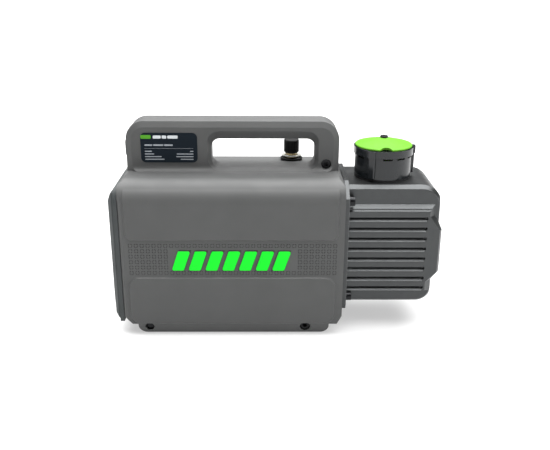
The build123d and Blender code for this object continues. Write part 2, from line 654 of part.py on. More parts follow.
with BuildPart() as front_bracket:
    with BuildSketch(along(PLATE_LEFT)) as plate:
        flange_outline(2.1)
    extrude(plate.sketch, amount=PLATE_RIGHT - PLATE_LEFT)
    disc(along(CORE_RIGHT + TOUCH), STATOR_R, PLATE_LEFT - CORE_RIGHT, bore=SKIRT_BORE)
    disc(along(FRONT_BEARING_X - 1), 22.0, 14)
    drill(along(FRONT_BEARING_X - 5), BEARING_R + TOUCH, BEARING_W + 5)
    drill(along(FRONT_BEARING_X), 12.5 + TOUCH, 30)
    with BuildSketch(along(24, 0, AXIS_Z)) as vents:
        Rectangle(3 * STATOR_R, 26)
        Rectangle(26, 3 * STATOR_R)
    extrude(vents.sketch, amount=24, mode=Mode.SUBTRACT)
    with BuildSketch(along(CORE_RIGHT - 1)) as tie_holes:
        with PolarLocations(BOLT_CIRCLE, 4, start_angle=45):
            Circle(2.1)
    extrude(tie_holes.sketch, amount=25, mode=Mode.SUBTRACT)
    with BuildSketch(along(PLATE_LEFT - 1)) as pump_holes:
        with PolarLocations(PUMP_BOLT_CIRCLE, 4, start_angle=45):
            Circle(2.0 + TOUCH)
        for y, z in TANK_BOLTS:
            with Locations((y, z - AXIS_Z)):
                Circle(SCREW_R + TOUCH)
    extrude(pump_holes.sketch, amount=10, mode=Mode.SUBTRACT)
    drill(along(PLATE_LEFT - 1, INLET_Y, PIPE_Z), 3.3, 5)
save(front_bracket, "front_bracket")

with BuildPart() as tie_bolts:
    with BuildSketch(along(-74 - TOUCH)) as shanks:
        with PolarLocations(BOLT_CIRCLE, 4, start_angle=45):
            Circle(2.0)
    extrude(shanks.sketch, amount=104)
    with BuildSketch(along(-78)) as heads:
        with PolarLocations(BOLT_CIRCLE - 0.6, 4, start_angle=45):
            RegularPolygon(3.5, 6, major_radius=False)
    extrude(heads.sketch, amount=4 - TOUCH)
save(tie_bolts, "tie_bolts")

SHAFT_LEFT = -118.0
SHAFT_RIGHT = CYLINDER_RIGHT + END_PLATE_T - 1
FAN_SHAFT_R = 6.0
PUMP_SHAFT_R = 7.0

with BuildPart() as motor_shaft:
    disc(along(SHAFT_LEFT), FAN_SHAFT_R, -98 - SHAFT_LEFT)
    disc(along(-98), SHAFT_R, 98 + PLATE_RIGHT)
    disc(along(PLATE_RIGHT), PUMP_SHAFT_R, SHAFT_RIGHT - PLATE_RIGHT)
    with BuildSketch(along(-115.4)) as clip_groove:
        Circle(FAN_SHAFT_R + 1)
        Circle(FAN_SHAFT_R - 0.8, mode=Mode.SUBTRACT)
    extrude(clip_groove.sketch, amount=1.2, mode=Mode.SUBTRACT)
save(motor_shaft, "motor_shaft")

with BuildPart() as rotor_core:
    disc(along(CORE_LEFT + 1), STATOR_BORE - 0.4, core_length - 2, bore=SHAFT_R + TOUCH)
    disc(along(CORE_LEFT - 5), STATOR_BORE - 2, 6, bore=18)
    disc(along(CORE_RIGHT - 1), STATOR_BORE - 2, 6, bore=18)
save(rotor_core, "rotor_core")

FAN_LEFT = -112.0
FAN_R = 43.0

with BuildPart() as cooling_fan:
    disc(along(FAN_LEFT), 13, 16, bore=FAN_SHAFT_R + TOUCH)
    disc(along(-99), FAN_R, 3, bore=FAN_SHAFT_R + TOUCH)
    with BuildSketch(along(FAN_LEFT)) as blades:
        with PolarLocations(27.0, 9):
            Rectangle(30, 2.2)
    extrude(blades.sketch, amount=14)
    drill(along(-99), SHAFT_R + 0.2, 5)
save(cooling_fan, "cooling_fan")

with BuildPart() as fan_clip:
    with BuildSketch(along(-115.3)) as clip:
        Circle(8.5)
        Circle(FAN_SHAFT_R - 0.8 + TOUCH, mode=Mode.SUBTRACT)
        with Locations((0, -8)):
            Rectangle(6, 9, mode=Mode.SUBTRACT)
    extrude(clip.sketch, amount=1.0)
save(fan_clip, "fan_clip")

with BuildPart() as run_capacitor:
    disc(along(-60, -16, 137.2), 10.2, 46)
    disc(along(-14, -16, 137.2), 8.0, 3)
save(run_capacitor, "run_capacitor")

with BuildPart() as capacitor_strap:
    disc(along(-42, -16, 137.2), 11.0, 10, bore=10.2 + TOUCH)
    block(along(-42, -16, 126.1), 12, 1.4, 10)
save(capacitor_strap, "capacitor_strap")

# ------------------------------------------------------------------ pump
PUMP_AXIS_X = PLATE_RIGHT + TOUCH

with BuildPart() as pump_cylinder:
    disc(along(PUMP_AXIS_X), CYLINDER_R, CYLINDER_LENGTH)
    block(along(PUMP_AXIS_X, 0, VALVE_SEAT_Z + 10), 80, 20, CYLINDER_LENGTH, mode=Mode.SUBTRACT)
    drill(along(PUMP_AXIS_X, 0, AXIS_Z - BORE_DROP), CYLINDER_BORE, CYLINDER_LENGTH)
    drill(level(PUMP_AXIS_X + 20, 8, AXIS_Z), 2.5, 40)
    with BuildSketch(along(PUMP_AXIS_X)) as cylinder_holes:
        with PolarLocations(PUMP_BOLT_CIRCLE, 4, start_angle=45):
            Circle(2.1)
    extrude(cylinder_holes.sketch, amount=CYLINDER_LENGTH, mode=Mode.SUBTRACT)
save(pump_cylinder, "pump_cylinder")

ROTOR_GAP = 0.08
VANE_T = 3.0

with BuildPart() as pump_rotor:
    rotor_length = CYLINDER_LENGTH - 2 * ROTOR_GAP
    disc(along(PUMP_AXIS_X + ROTOR_GAP), ROTOR_R, rotor_length, bore=PUMP_SHAFT_R + TOUCH)
    with BuildSketch(along(PUMP_AXIS_X + ROTOR_GAP)) as vane_slots:
        with Locations((0, 14.5), (0, -14.5)):
            Rectangle(VANE_T + 2 * RUNNING_FIT, 11)
    extrude(vane_slots.sketch, amount=rotor_length, mode=Mode.SUBTRACT)
save(pump_rotor, "pump_rotor")

with BuildPart() as vanes:
    with BuildSketch(along(PUMP_AXIS_X + ROTOR_GAP + 0.02)) as vane_profile:
        with Locations((0, 14.0), (0, -14.0)):
            Rectangle(VANE_T, 9.4)
    extrude(vane_profile.sketch, amount=rotor_length - 0.04)
save(vanes, "vanes")

with BuildPart() as pump_end_plate:
    disc(along(CYLINDER_RIGHT + TOUCH), CYLINDER_R, END_PLATE_T)
    block(along(CYLINDER_RIGHT, 0, VALVE_SEAT_Z + 10), 80, 20, END_PLATE_T + 1, mode=Mode.SUBTRACT)
    drill(along(CYLINDER_RIGHT), PUMP_SHAFT_R + RUNNING_FIT, END_PLATE_T + 1)
    with BuildSketch(along(CYLINDER_RIGHT)) as end_holes:
        with PolarLocations(PUMP_BOLT_CIRCLE, 4, start_angle=45):
            Circle(2.1)
    extrude(end_holes.sketch, amount=END_PLATE_T + 1, mode=Mode.SUBTRACT)
save(pump_end_plate, "pump_end_plate")

with BuildPart() as pump_screws:
    screw_end = CYLINDER_RIGHT + END_PLATE_T + 2 * TOUCH
    with BuildSketch(along(PLATE_LEFT + 1)) as pump_shanks:
        with PolarLocations(PUMP_BOLT_CIRCLE, 4, start_angle=45):
            Circle(2.0)
    extrude(pump_shanks.sketch, amount=screw_end - PLATE_LEFT)
    with BuildSketch(along(screw_end)) as pump_heads:
        with PolarLocations(PUMP_BOLT_CIRCLE, 4, start_angle=45):
            Circle(3.5)
            RegularPolygon(1.5, 6, major_radius=False, mode=Mode.SUBTRACT)
    extrude(pump_heads.sketch, amount=4)
    disc(level(PUMP_AXIS_X + 20, -4, VALVE_SEAT_Z + 1.64 + TOUCH), 2.8, 1.8)
save(pump_screws, "pump_screws")

with BuildPart() as shaft_seal:
    disc(along(PLATE_LEFT), 12.5, PLATE_RIGHT - PLATE_LEFT, bore=SHAFT_R + RUNNING_FIT)
save(shaft_seal, "shaft_seal")

with BuildPart() as exhaust_reed:
    block(level(PUMP_AXIS_X + 20, 2, VALVE_SEAT_Z + TOUCH), 9, 20, 0.4)
save(exhaust_reed, "exhaust_reed")

with BuildPart() as reed_stop:
    block(level(PUMP_AXIS_X + 20, -4, VALVE_SEAT_Z + 0.4 + 2 * TOUCH), 9, 8, 1.2)
    with BuildSketch(Plane.YZ.offset(PUMP_AXIS_X + 15.5)) as stop_side:
        lift = VALVE_SEAT_Z + 0.4 + 2 * TOUCH
        outline([(-0.5, lift), (12, lift + 3.0), (12, lift + 4.2), (-0.5, lift + 1.2)])
    extrude(stop_side.sketch, amount=9)
    drill(level(PUMP_AXIS_X + 20, -4, VALVE_SEAT_Z), 1.6, 5)
save(reed_stop, "reed_stop")

# ------------------------------------------------------------------ oil tank
SIGHT_R = 16.0
SIGHT_BORE = 10.0
CAP_THREAD_R = 15.0


def band_plan(face_end, end, corner):
    """Plan outline of the proud band: its faces stop at x = face_end and slant to the end face at x = end."""
    start = FLANGE_RIGHT - 1
    outline([
        (start, -BAND_HALF), (face_end, -BAND_HALF), (end, -BAND_HALF + corner),
        (end, BAND_HALF - corner), (face_end, BAND_HALF), (start, BAND_HALF),
    ])


with BuildPart() as tank_body:
    # the side view is a little too long here, so that only the top and bottom edges keep the bevel
    with BuildSketch(Plane.XZ.offset(TANK_HALF - FACE_BEVEL)) as body_side:
        start = FLANGE_LEFT - 4
        outline([
            (start, TANK_BOTTOM), (LOWER_END + 2, TANK_BOTTOM), (LOWER_END + 2, 48.5),
            (TANK_END + 2, 55.5), (TANK_END + 2, TANK_TOP), (start, TANK_TOP),
        ])
        round_corner(LOWER_END + 2, TANK_BOTTOM, 15)
        round_corner(TANK_END + 2, TANK_TOP, 20)
    extrude(body_side.sketch, amount=FACE_BEVEL, taper=FACE_TAPER)
    extrude(body_side.sketch, amount=FACE_BEVEL - TANK_HALF)
    mirror(about=Plane.XZ)
    with BuildSketch(Plane.XZ) as end_limit:
        outline([
            (FLANGE_LEFT, TANK_BOTTOM - 1), (LOWER_END, TANK_BOTTOM - 1), (LOWER_END, 49.0), (TANK_END, 56.0),
            (TANK_END, TANK_TOP + 1), (FLANGE_LEFT, TANK_TOP + 1),
        ])
    extrude(end_limit.sketch, amount=TANK_HALF, both=True, mode=Mode.INTERSECT)

# the band's plan at its top and bottom edges and at its middle: end of the faces, end, corner depth
NARROW = (141.8, 148.4, 7.0)
WIDE = (152.0, X_END, 4.0)

with BuildPart() as tank_band:
    for low, high, ends in ((38.0, 49.0, NARROW), (59.0, 101.3, WIDE), (114.9, 126.0, NARROW)):
        with BuildSketch(Plane.XY.offset(low)) as tier:
            band_plan(*ends)
        extrude(tier.sketch, amount=high - low)
    for low, high, low_ends, high_ends in ((49.0, 59.0, NARROW, WIDE), (101.3, 114.9, WIDE, NARROW)):
        with BuildSketch(Plane.XY.offset(low)) as low_tier:
            band_plan(*low_ends)
        with BuildSketch(Plane.XY.offset(high)) as high_tier:
            band_plan(*high_ends)
        loft([*low_tier.sketch.faces(), *high_tier.sketch.faces()], ruled=True)
    with BuildSketch(Plane.YZ.offset(FLANGE_RIGHT - 1)) as band_section:
        with BuildLine() as band_path:
            side = Polyline(
                (0, 38.0), (TANK_HALF + 0.5, 38.0), (BAND_HALF, 40.2), (BAND_HALF, 119.6),
                (BAND_HALF - 1.3, 121.0), (BAND_HALF - 2.1, 121.5), (BAND_HALF - 1.5, 122.1),
                (TANK_HALF, 125.4), (0, 125.4),
            )
            mirror(side.edges(), about=Plane.YZ)
        make_face()
    extrude(band_section.sketch, amount=LENGTH, mode=Mode.INTERSECT)

with BuildPart() as tank:
    add(tank_body.part)
    add(tank_band.part)
    with BuildSketch(along(FLANGE_LEFT)) as flange:
        flange_outline(0)
    extrude(flange.sketch, amount=FLANGE_RIGHT - FLANGE_LEFT)
    # inside
    with BuildSketch(Plane.XZ) as inside:
        outline([
            (FLANGE_LEFT - 1, 30.0), (136.0, 30.0), (144.0, 38.0), (144.0, 51.0), (147.6, 57.0),
            (147.6, 120.0), (131.0, 138.5), (FLANGE_LEFT - 1, 138.5),
        ])
    extrude(inside.sketch, amount=TANK_HALF - TANK_WALL, both=True, mode=Mode.SUBTRACT)
    # horizontal grooves of the front and back bands, each with a slanted lower lip and a round end
    for i in range(GROOVES):
        z = GROOVE_TOP_Z - i * GROOVE_PITCH
        with BuildSketch(Plane.YZ.offset(FLANGE_RIGHT)) as groove_profile:
            for side in (-1, 1):
                mouth_y = side * (BAND_HALF + 0.01)
                floor_y = side * (BAND_HALF - GROOVE_DEPTH)
                outline([(mouth_y, z + 1.5), (floor_y, z + 1.2), (floor_y, z - 0.4), (mouth_y, z - 2.2)])
        extrude(groove_profile.sketch, amount=GROOVE_RIGHT - FLANGE_RIGHT, mode=Mode.SUBTRACT)
        for side in (-1, 1):
            end_point = (GROOVE_RIGHT, side * BAND_HALF, z - 0.35)
            with BuildSketch(Plane(origin=end_point, x_dir=(1, 0, 0), z_dir=(0, -side, 0))) as groove_end:
                Circle(1.85)
            extrude(groove_end.sketch, amount=GROOVE_DEPTH, taper=20, mode=Mode.SUBTRACT)
    drill(level(CAP_X, 0, TANK_TOP - 10), CAP_THREAD_R, 20)
    disc(level(DRAIN_X, 0, TANK_BOTTOM), 10, 12)
    drill(level(DRAIN_X, 0, TANK_BOTTOM - 1), 5.0, 20)
    drill(along(X_END - 3, 0, SIGHT_Z), SIGHT_R + 0.2, 10)
    drill(along(X_END - 4.6, 0, SIGHT_Z), SIGHT_R - 3.6, 10)
    drill(along(X_END - 12, 0, SIGHT_Z), SIGHT_BORE, 20)
    for y, z in TANK_BOLTS:
        drill(along(FLANGE_LEFT - 1, y, z), SCREW_R + 0.1, 6)
save(tank, "tank")

with BuildPart() as tank_gasket:
    with BuildSketch(along(PLATE_RIGHT + TOUCH)) as gasket:
        flange_outline(2.2)
        with Locations((0, 0)):
            RectangleRounded(2 * (TANK_HALF - TANK_WALL), 100, 4, mode=Mode.SUBTRACT)
        for y, z in TANK_BOLTS:
            with Locations((y, z - AXIS_Z)):
                Circle(SCREW_R + 0.1, mode=Mode.SUBTRACT)
    extrude(gasket.sketch, amount=FLANGE_LEFT - PLATE_RIGHT - 2 * TOUCH)
save(tank_gasket, "tank_gasket")

with BuildPart() as tank_bolts:
    for y, z in TANK_BOLTS:
        bolt = Plane(origin=(FLANGE_RIGHT + TOUCH, y, z), x_dir=(0, 1, 0), z_dir=(-1, 0, 0))
        socket_screw(bolt, SCREW_R, 10, HEAD_R, HEAD_H, 4.0)
save(tank_bolts, "tank_bolts")

with BuildPart() as sight_glass:
    disc(along(X_END - 4.1, 0, SIGHT_Z), 12.2, 1.1 - TOUCH)
save(sight_glass, "sight_glass")

with BuildPart() as sight_glass_seal:
    disc(along(X_END - 4.6, 0, SIGHT_Z), 12.2, 0.5 - TOUCH, bore=SIGHT_BORE)
save(sight_glass_seal, "sight_glass_seal")

with BuildPart() as sight_glass_ring:
    disc(along(X_END - 3 + TOUCH, 0, SIGHT_Z), SIGHT_R, 2.8, bore=SIGHT_BORE)
    with BuildSketch(along(X_END - 1.5, 0, SIGHT_Z)) as notches:
        with PolarLocations(13.2, 4):
            Circle(1.3)
    extrude(notches.sketch, amount=3, mode=Mode.SUBTRACT)
save(sight_glass_ring, "sight_glass_ring")

with BuildPart() as drain_plug:
    hexagon(level(DRAIN_X, 0, TANK_BOTTOM - 6), 15, 5 - TOUCH)
    disc(level(DRAIN_X, 0, TANK_BOTTOM - 2), 4.7, 12)
    hexagon(level(DRAIN_X, 0, TANK_BOTTOM - 6), 5, 3, mode=Mode.SUBTRACT)
save(drain_plug, "drain_plug")

with BuildPart() as drain_seal:
    disc(level(DRAIN_X, 0, TANK_BOTTOM - 1), 8, 1 - TOUCH, bore=5.0)
save(drain_seal, "drain_seal")

# ------------------------------------------------------------------ exhaust cap
def lugs(low, high, inner, outer, width):
    """Adds the three upright grip lugs of the exhaust cap."""
    with BuildSketch(level(CAP_X, 0, low)) as lug_plan:
        for angle in LUG_ANGLES:
            middle = (inner + outer) / 2
            place = (middle * cos(radians(angle)), middle * sin(radians(angle)), 0)
            with Locations(Location(place, (0, 0, angle))):
                RectangleRounded(outer - inner, width, 1.2)
    extrude(lug_plan.sketch, amount=high - low)


POST_R = 4.5  # the post that carries the lid's screw
LID_R = 27.0
LID_EDGE_Z = RING_HIGH + LOOSE_FIT
LID_TOP_Z = 180.4

with BuildPart() as filter_housing:
    disc(level(CAP_X, 0, CUP_LOW), CAP_R, RING_LOW - CUP_LOW)
    lugs(CUP_LOW + 2, RING_LOW, CAP_R - 3, CAP_R + 2.6, 7)
    disc(level(CAP_X, 0, CUP_LOW + CUP_FLOOR), CAP_R - 2.2, 30, bore=POST_R, mode=Mode.SUBTRACT)
    disc(level(CAP_X, 0, TANK_TOP - 9), CAP_THREAD_R - LOOSE_FIT, 9 + CUP_LOW - TANK_TOP, bore=11.5)
    with BuildSketch(level(CAP_X, 0, TANK_TOP - 10)) as vents:
        with PolarLocations(8.2, 6):
            Circle(2.2)
    extrude(vents.sketch, amount=15, mode=Mode.SUBTRACT)
    disc(level(CAP_X, 0, CUP_LOW + 2), POST_R, RING_HIGH - 1.4 - CUP_LOW - 2)
    drill(level(CAP_X, 0, 156), 1.9, 20)
    # exhaust slots under the upper ring, three between each pair of lugs
    for lug in LUG_ANGLES:
        for step in (31, 60, 89):
            angle = lug + step
            middle = CAP_R - 1
            with BuildSketch(level(CAP_X, 0, RING_LOW - 1.8)) as slot:
                place = (middle * cos(radians(angle)), middle * sin(radians(angle)), 0)
                with Locations(Location(place, (0, 0, angle))):
                    Rectangle(6, 9)
            extrude(slot.sketch, amount=1.6, mode=Mode.SUBTRACT)
save(filter_housing, "filter_housing")

with BuildPart() as cap_ring:
    disc(level(CAP_X, 0, RING_LOW + TOUCH), CAP_R + 1.3, RING_HIGH - RING_LOW)
    lugs(RING_LOW + TOUCH, RING_HIGH + TOUCH, CAP_R - 3, CAP_R + 3.4, 7.6)
    disc(level(CAP_X, 0, RING_LOW), CAP_R - 0.8, 12, mode=Mode.SUBTRACT)
    disc(level(CAP_X, 0, RING_LOW + TOUCH), CAP_R - 0.7, 4.2, bore=CAP_R - 3.0)
save(cap_ring, "cap_ring")

with BuildPart() as exhaust_lid:
    with BuildSketch(across(CAP_X, 0, 0)) as lid_profile:
        outline([
            (0, LID_TOP_Z), (3.5, LID_TOP_Z), (LID_R - 0.5, LID_EDGE_Z + 1.5), (LID_R, LID_EDGE_Z + 1.0),
            (LID_R, LID_EDGE_Z), (24.0, LID_EDGE_Z), (5.2, LID_TOP_Z - 2.4), (5.2, 172.0), (0, 172.0),
        ])
    revolve(lid_profile.sketch, axis=Axis((CAP_X, 0, 0), (0, 0, 1)))
    with BuildSketch(level(CAP_X, 0, 170)) as notch:
        with Locations((-1.3, -LID_R - 0.4)):
            Circle(5.4)
    extrude(notch.sketch, amount=12, mode=Mode.SUBTRACT)
    drill(level(CAP_X, 0, 170), 1.9, 12)
save(exhaust_lid, "exhaust_lid")

with BuildPart() as lid_screw:
    disc(level(CAP_X, 0, 160), 1.8, LID_TOP_Z - 160 + 1)
    disc(level(CAP_X, 0, LID_TOP_Z + 0.1), 3.8, 1.9)
    fillet(lid_screw.edges().group_by(Axis.Z)[-1], 1.2)
    with BuildSketch(level(CAP_X, 0, LID_TOP_Z + 1.0)) as cross:
        Rectangle(4.2, 0.9)
        Rectangle(0.9, 4.2)
    extrude(cross.sketch, amount=2, mode=Mode.SUBTRACT)
save(lid_screw, "lid_screw")

with BuildPart() as filter_element:
    disc(level(CAP_X, 0, CUP_LOW + CUP_FLOOR + TOUCH), 24.0, 14, bore=13)
save(filter_element, "filter_element")

with BuildPart() as cap_gasket:
    gasket_t = CUP_LOW - TANK_TOP - 2 * TOUCH
    disc(level(CAP_X, 0, TANK_TOP + TOUCH), CAP_R - 0.4, gasket_t, bore=CAP_THREAD_R + 0.4)
save(cap_gasket, "cap_gasket")

# ------------------------------------------------------------------ inlet port
with BuildPart() as inlet_base_ring:
    disc(level(INLET_X, INLET_Y, SHELL_TOP + TOUCH), 10.8, 3.0, bore=THREAD_R + 0.15)
    rounds = inlet_base_ring.edges().filter_by(GeomType.CIRCLE)
    fillet(rounds.filter_by(lambda e: e.radius > THREAD_R + 1), 0.6)
save(inlet_base_ring, "inlet_base_ring")

with BuildPart() as inlet_washer:
    disc(level(INLET_X, INLET_Y, 156.0), 9.7, 0.9, bore=THREAD_R + 0.15)
save(inlet_washer, "inlet_washer")

with BuildPart() as inlet_fitting:
    disc(level(INLET_X, INLET_Y, FITTING_LOW), THREAD_R, FITTING_TOP - FITTING_LOW)
    hexagon(level(INLET_X, INLET_Y, 140), 16, SHELL_TOP - WALL - 140 - TOUCH)
    drill(level(INLET_X, INLET_Y, FITTING_LOW - 1), 2.4, 60)
    rim_edges = inlet_fitting.edges().filter_by(lambda e: e.center().Z > FITTING_TOP - 1 and e.length > 20)
    chamfer(rim_edges, 1.5)
save(inlet_fitting, "inlet_fitting")

CAP_LOW = 158.5
CAP_HIGH = 172.0
FLUTES = 20

with BuildPart() as inlet_cap:
    disc(level(INLET_X, INLET_Y, CAP_LOW), 7.5, CAP_HIGH - CAP_LOW)
    chamfer(inlet_cap.edges().group_by(Axis.Z)[0], 1.4)
    chamfer(inlet_cap.edges().group_by(Axis.Z)[-1], 0.8)
    with BuildSketch(level(INLET_X, INLET_Y, CAP_LOW - 1)) as flutes:
        with PolarLocations(7.75, FLUTES):
            Circle(0.6)
    extrude(flutes.sketch, amount=20, mode=Mode.SUBTRACT)
    drill(level(INLET_X, INLET_Y, CAP_LOW - 1), THREAD_R + LOOSE_FIT, 12.5)
save(inlet_cap, "inlet_cap")

with BuildPart() as inlet_cap_seal:
    disc(level(INLET_X, INLET_Y, FITTING_TOP + 0.1), 4.6, 1.6)
save(inlet_cap_seal, "inlet_cap_seal")

with BuildPart() as suction_pipe:
    with BuildLine() as route:
        down = Line((INLET_X, INLET_Y, FITTING_LOW - TOUCH), (INLET_X, INLET_Y, PIPE_Z + 5))
        turn = TangentArc(down @ 1, (INLET_X + 5, INLET_Y, PIPE_Z), tangent=down % 1)
        Line(turn @ 1, (PLATE_LEFT + 2, INLET_Y, PIPE_Z))
    with BuildSketch(level(INLET_X, INLET_Y, FITTING_LOW - TOUCH)):
        Circle(3.2)
        Circle(2.4, mode=Mode.SUBTRACT)
    sweep()
save(suction_pipe, "suction_pipe")
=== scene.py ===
"""Looks of the HVAC vacuum pump: materials, printed and moulded details, studio and camera.

Lengths are in metres, in the CAD frame.
"""

import json
from math import cos, radians, sin

import bpy
from mathutils import Matrix, Vector


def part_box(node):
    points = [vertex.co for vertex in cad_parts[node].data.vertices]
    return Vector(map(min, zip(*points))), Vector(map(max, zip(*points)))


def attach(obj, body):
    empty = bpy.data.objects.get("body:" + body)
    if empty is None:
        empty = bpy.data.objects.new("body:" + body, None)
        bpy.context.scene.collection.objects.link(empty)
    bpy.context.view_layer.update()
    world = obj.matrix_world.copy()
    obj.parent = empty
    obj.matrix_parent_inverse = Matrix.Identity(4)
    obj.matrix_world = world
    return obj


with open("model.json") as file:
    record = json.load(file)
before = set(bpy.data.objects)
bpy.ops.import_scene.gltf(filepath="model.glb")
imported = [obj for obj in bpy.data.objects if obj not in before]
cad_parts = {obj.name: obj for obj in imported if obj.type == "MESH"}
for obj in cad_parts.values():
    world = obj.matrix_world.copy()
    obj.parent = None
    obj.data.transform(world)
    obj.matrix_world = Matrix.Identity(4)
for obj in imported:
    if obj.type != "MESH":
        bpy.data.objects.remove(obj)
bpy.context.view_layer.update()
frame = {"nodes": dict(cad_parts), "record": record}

MM = 0.001


# ------------------------------------------------------------------ material helpers
class Look:
    """A node material in the object's own coordinates, built one socket at a time."""

    def __init__(self, name, roughness=0.5, metallic=0.0, **sockets):
        self.material = bpy.data.materials.new(name)
        self.material.use_nodes = True
        self.tree = self.material.node_tree
        self.shader = self.tree.nodes["Principled BSDF"]
        self.set(Roughness=roughness, Metallic=metallic)
        self.set(**sockets)
        self.coords = self.node("ShaderNodeTexCoord").outputs["Object"]

    def set(self, **sockets):
        for name, value in sockets.items():
            self.shader.inputs[name.replace("_", " ")].default_value = value

    def node(self, kind, **settings):
        node = self.tree.nodes.new(kind)
        for name, value in settings.items():
            setattr(node, name, value)
        return node

    def link(self, output, target):
        self.tree.links.new(output, target)

    def noise(self, size, detail=3.0, stretch=(1, 1, 1)):
        """Noise whose grains are about size metres across; stretch makes them longer along an axis."""
        mapping = self.node("ShaderNodeMapping")
        mapping.inputs["Scale"].default_value = [1 / s for s in stretch]
        self.link(self.coords, mapping.inputs["Vector"])
        noise = self.node("ShaderNodeTexNoise")
        noise.inputs["Scale"].default_value = 1 / size
        noise.inputs["Detail"].default_value = detail
        self.link(mapping.outputs["Vector"], noise.inputs["Vector"])
        return noise.outputs["Fac"]

    def ramp(self, value, low, high, start=0.0, end=1.0):
        """Maps a value from the range low..high to start..end, clamped."""
        mapped = self.node("ShaderNodeMapRange")
        self.link(value, mapped.inputs["Value"])
        mapped.inputs["From Min"].default_value = low
        mapped.inputs["From Max"].default_value = high
        mapped.inputs["To Min"].default_value = start
        mapped.inputs["To Max"].default_value = end
        return mapped.outputs["Result"]

    def math(self, operation, a, b):
        node = self.node("ShaderNodeMath", operation=operation)
        for socket, value in zip(node.inputs, (a, b)):
            if isinstance(value, (int, float)):
                socket.default_value = value
            else:
                self.link(value, socket)
        return node.outputs["Value"]

    def mix(self, amount, a, b):
        """Blends two colours by a 0..1 amount."""
        node = self.node("ShaderNodeMix", data_type="RGBA")
        self.link(amount, node.inputs["Factor"])
        for socket, value in ((node.inputs["A"], a), (node.inputs["B"], b)):
            if isinstance(value, tuple):
                socket.default_value = (*value, 1)
            else:
                self.link(value, socket)
        return node.outputs["Result"]

    def rounded_edges(self, radius):
        """Normal of the surface as if its sharp edges were rounded by the radius."""
        bevel = self.node("ShaderNodeBevel", samples=8)
        bevel.inputs["Radius"].default_value = radius
        return bevel.outputs["Normal"]

    def edge_mask(self, normal, sharpness=6.0):
        """1 on rounded edges and 0 on the flats."""
        geometry = self.node("ShaderNodeNewGeometry")
        dot = self.node("ShaderNodeVectorMath", operation="DOT_PRODUCT")
        self.link(normal, dot.inputs[0])
        self.link(geometry.outputs["Normal"], dot.inputs[1])
        bend = self.math("SUBTRACT", 1.0, dot.outputs["Value"])
        return self.ramp(bend, 0.0, 1 / sharpness)

    def bump(self, height, depth, normal=None, strength=1.0):
        """Bumps of about depth metres, on top of an earlier normal."""
        bump = self.node("ShaderNodeBump")
        bump.inputs["Strength"].default_value = strength
        bump.inputs["Distance"].default_value = depth
        self.link(height, bump.inputs["Height"])
        if normal:
            self.link(normal, bump.inputs["Normal"])
        return bump.outputs["Normal"]

    def finish(self, colour=None, roughness=None, normal=None):
        for value, socket in ((colour, "Base Color"), (roughness, "Roughness"), (normal, "Normal")):
            if value is not None:
                self.link(value, self.shader.inputs[socket])
        return self.material


def shade(colour, factor):
    return tuple(c * factor for c in colour)


# ------------------------------------------------------------------ materials, one function per finish
def moulded_plastic(name, colour, rough=(0.46, 0.58), edge=1.2, edge_r=0.7 * MM, shine=0.35):
    """Injection-moulded plastic with a fine etched grain, faint handling marks, and edges painted lighter,
    partly as wear and partly as a painted highlight.
    """
    grain = 0.5 * MM
    grain_depth = 0.03 * MM
    look = Look(name, IOR=1.5, Specular_IOR_Level=shine)
    rounded = look.rounded_edges(edge_r)
    fine = look.noise(grain, detail=2)
    broad = look.noise(40 * MM, detail=4)
    smudge = look.noise(14 * MM, detail=6)
    flats = look.mix(look.ramp(broad, 0.3, 0.7), shade(colour, 0.95), shade(colour, 1.05))
    speckled = look.mix(look.ramp(fine, 0.35, 0.65, 0.0, 0.35), flats, shade(colour, 1.12))
    # edges painted lighter: partly wear, partly a painted highlight on the rounded edges
    worn_and_highlit_edges = look.mix(look.math("MULTIPLY", look.edge_mask(rounded), 0.5), speckled, shade(colour, edge))
    gloss = look.math("ADD", look.ramp(smudge, 0.3, 0.7, *rough), look.ramp(fine, 0.3, 0.7, -0.03, 0.03))
    return look.finish(worn_and_highlit_edges, gloss, look.bump(fine, grain_depth, rounded))


def cast_paint(name, colour):
    """Semi-gloss paint over a casting: slight waviness, orange peel, and edges painted much lighter, partly
    thin paint and partly a painted highlight on the bevels.
    """
    look = Look(name, metallic=0.75, IOR=1.5)
    rounded = look.rounded_edges(0.9 * MM)
    peel = look.noise(1.6 * MM, detail=2)
    cast = look.noise(9 * MM, detail=4)
    grit = look.noise(0.35 * MM, detail=2)
    base = look.mix(look.ramp(cast, 0.3, 0.7), shade(colour, 0.93), shade(colour, 1.08))
    dust = look.mix(look.ramp(grit, 0.55, 0.75, 0, 0.25), base, shade(colour, 1.6))
    # edges painted much lighter: partly thin paint, partly a painted highlight on the bevels
    worn_and_highlit_edges = look.mix(look.math("MULTIPLY", look.edge_mask(rounded), 0.6), dust, shade(colour, 3.4))
    gloss = look.math("ADD", look.ramp(cast, 0.3, 0.7, 0.3, 0.4), look.ramp(grit, 0.3, 0.7, -0.04, 0.04))
    waves = look.bump(cast, 0.12 * MM, rounded, 0.6)
    return look.finish(worn_and_highlit_edges, gloss, look.bump(grit, 0.012 * MM, look.bump(peel, 0.02 * MM, waves)))


def satin_plastic(name, colour, rough=(0.2, 0.3), **sockets):
    """Smooth plastic with a soft sheen, faint flow marks and fine scuffs."""
    scuff_depth = 0.012 * MM
    look = Look(name, IOR=1.5, **sockets)
    rounded = look.rounded_edges(0.4 * MM)
    flow = look.noise(11 * MM, detail=3)
    scuff = look.noise(0.8 * MM, detail=5, stretch=(1, 5, 1))
    base = look.mix(look.ramp(flow, 0.3, 0.7), shade(colour, 0.96), shade(colour, 1.04))
    # edges painted slightly lighter: partly wear, partly a painted highlight
    worn_and_highlit_edges = look.mix(look.math("MULTIPLY", look.edge_mask(rounded), 0.3), base, shade(colour, 1.2))
    gloss = look.math("ADD", look.ramp(flow, 0.3, 0.7, *rough), look.ramp(scuff, 0.5, 0.8, 0, 0.1))
    return look.finish(worn_and_highlit_edges, gloss, look.bump(scuff, scuff_depth, rounded))


